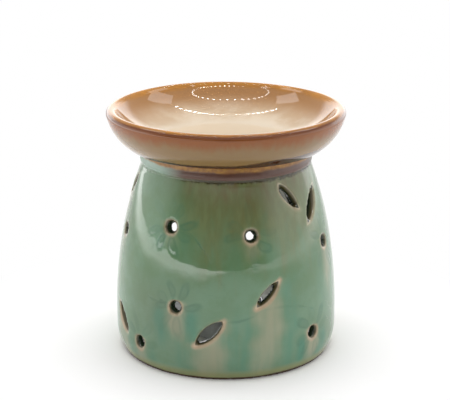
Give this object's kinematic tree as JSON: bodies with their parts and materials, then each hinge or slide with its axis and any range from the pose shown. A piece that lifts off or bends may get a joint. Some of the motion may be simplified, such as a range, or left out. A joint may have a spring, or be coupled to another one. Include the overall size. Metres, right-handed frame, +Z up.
{
  "type": "essential oil burner",
  "caption": "Round pierced ceramic oil burner: a lift-off oil dish rests on the collar of a chamber, and a tea light slides in through an arched door at the back.",
  "frame": {"origin": "centre of the foot ring, on the table", "axes": "+Z up along the burner's axis, +Y out of the candle door at the back, -Y to the front"},
  "size_m": [0.1208, 0.1208, 0.1254],
  "materials": {
    "green_glaze": "gloss",
    "beige_glaze": "gloss",
    "pressed_aluminium": "satin",
    "candle_wax": "satin",
    "cotton_wick": "matte",
    "tinplate": "satin"
  },
  "bodies": {
    "burner": {"burner_body": "green_glaze"},
    "dish": {"oil_dish": "beige_glaze"},
    "tealight": {"tealight_cup": "pressed_aluminium", "tealight_wax": "candle_wax", "tealight_wick": "cotton_wick", "wick_sustainer": "tinplate"}
  },
  "joints": [
    {"name": "dish_lift", "type": "slide", "parent": "burner", "child": "dish", "axis": [0, 0, 1], "range_m": [0, 0.04]},
    {"name": "tealight_slide", "type": "slide", "parent": "burner", "child": "tealight", "axis": [0, 1, 0], "range_m": [0, 0.085]}
  ]
}
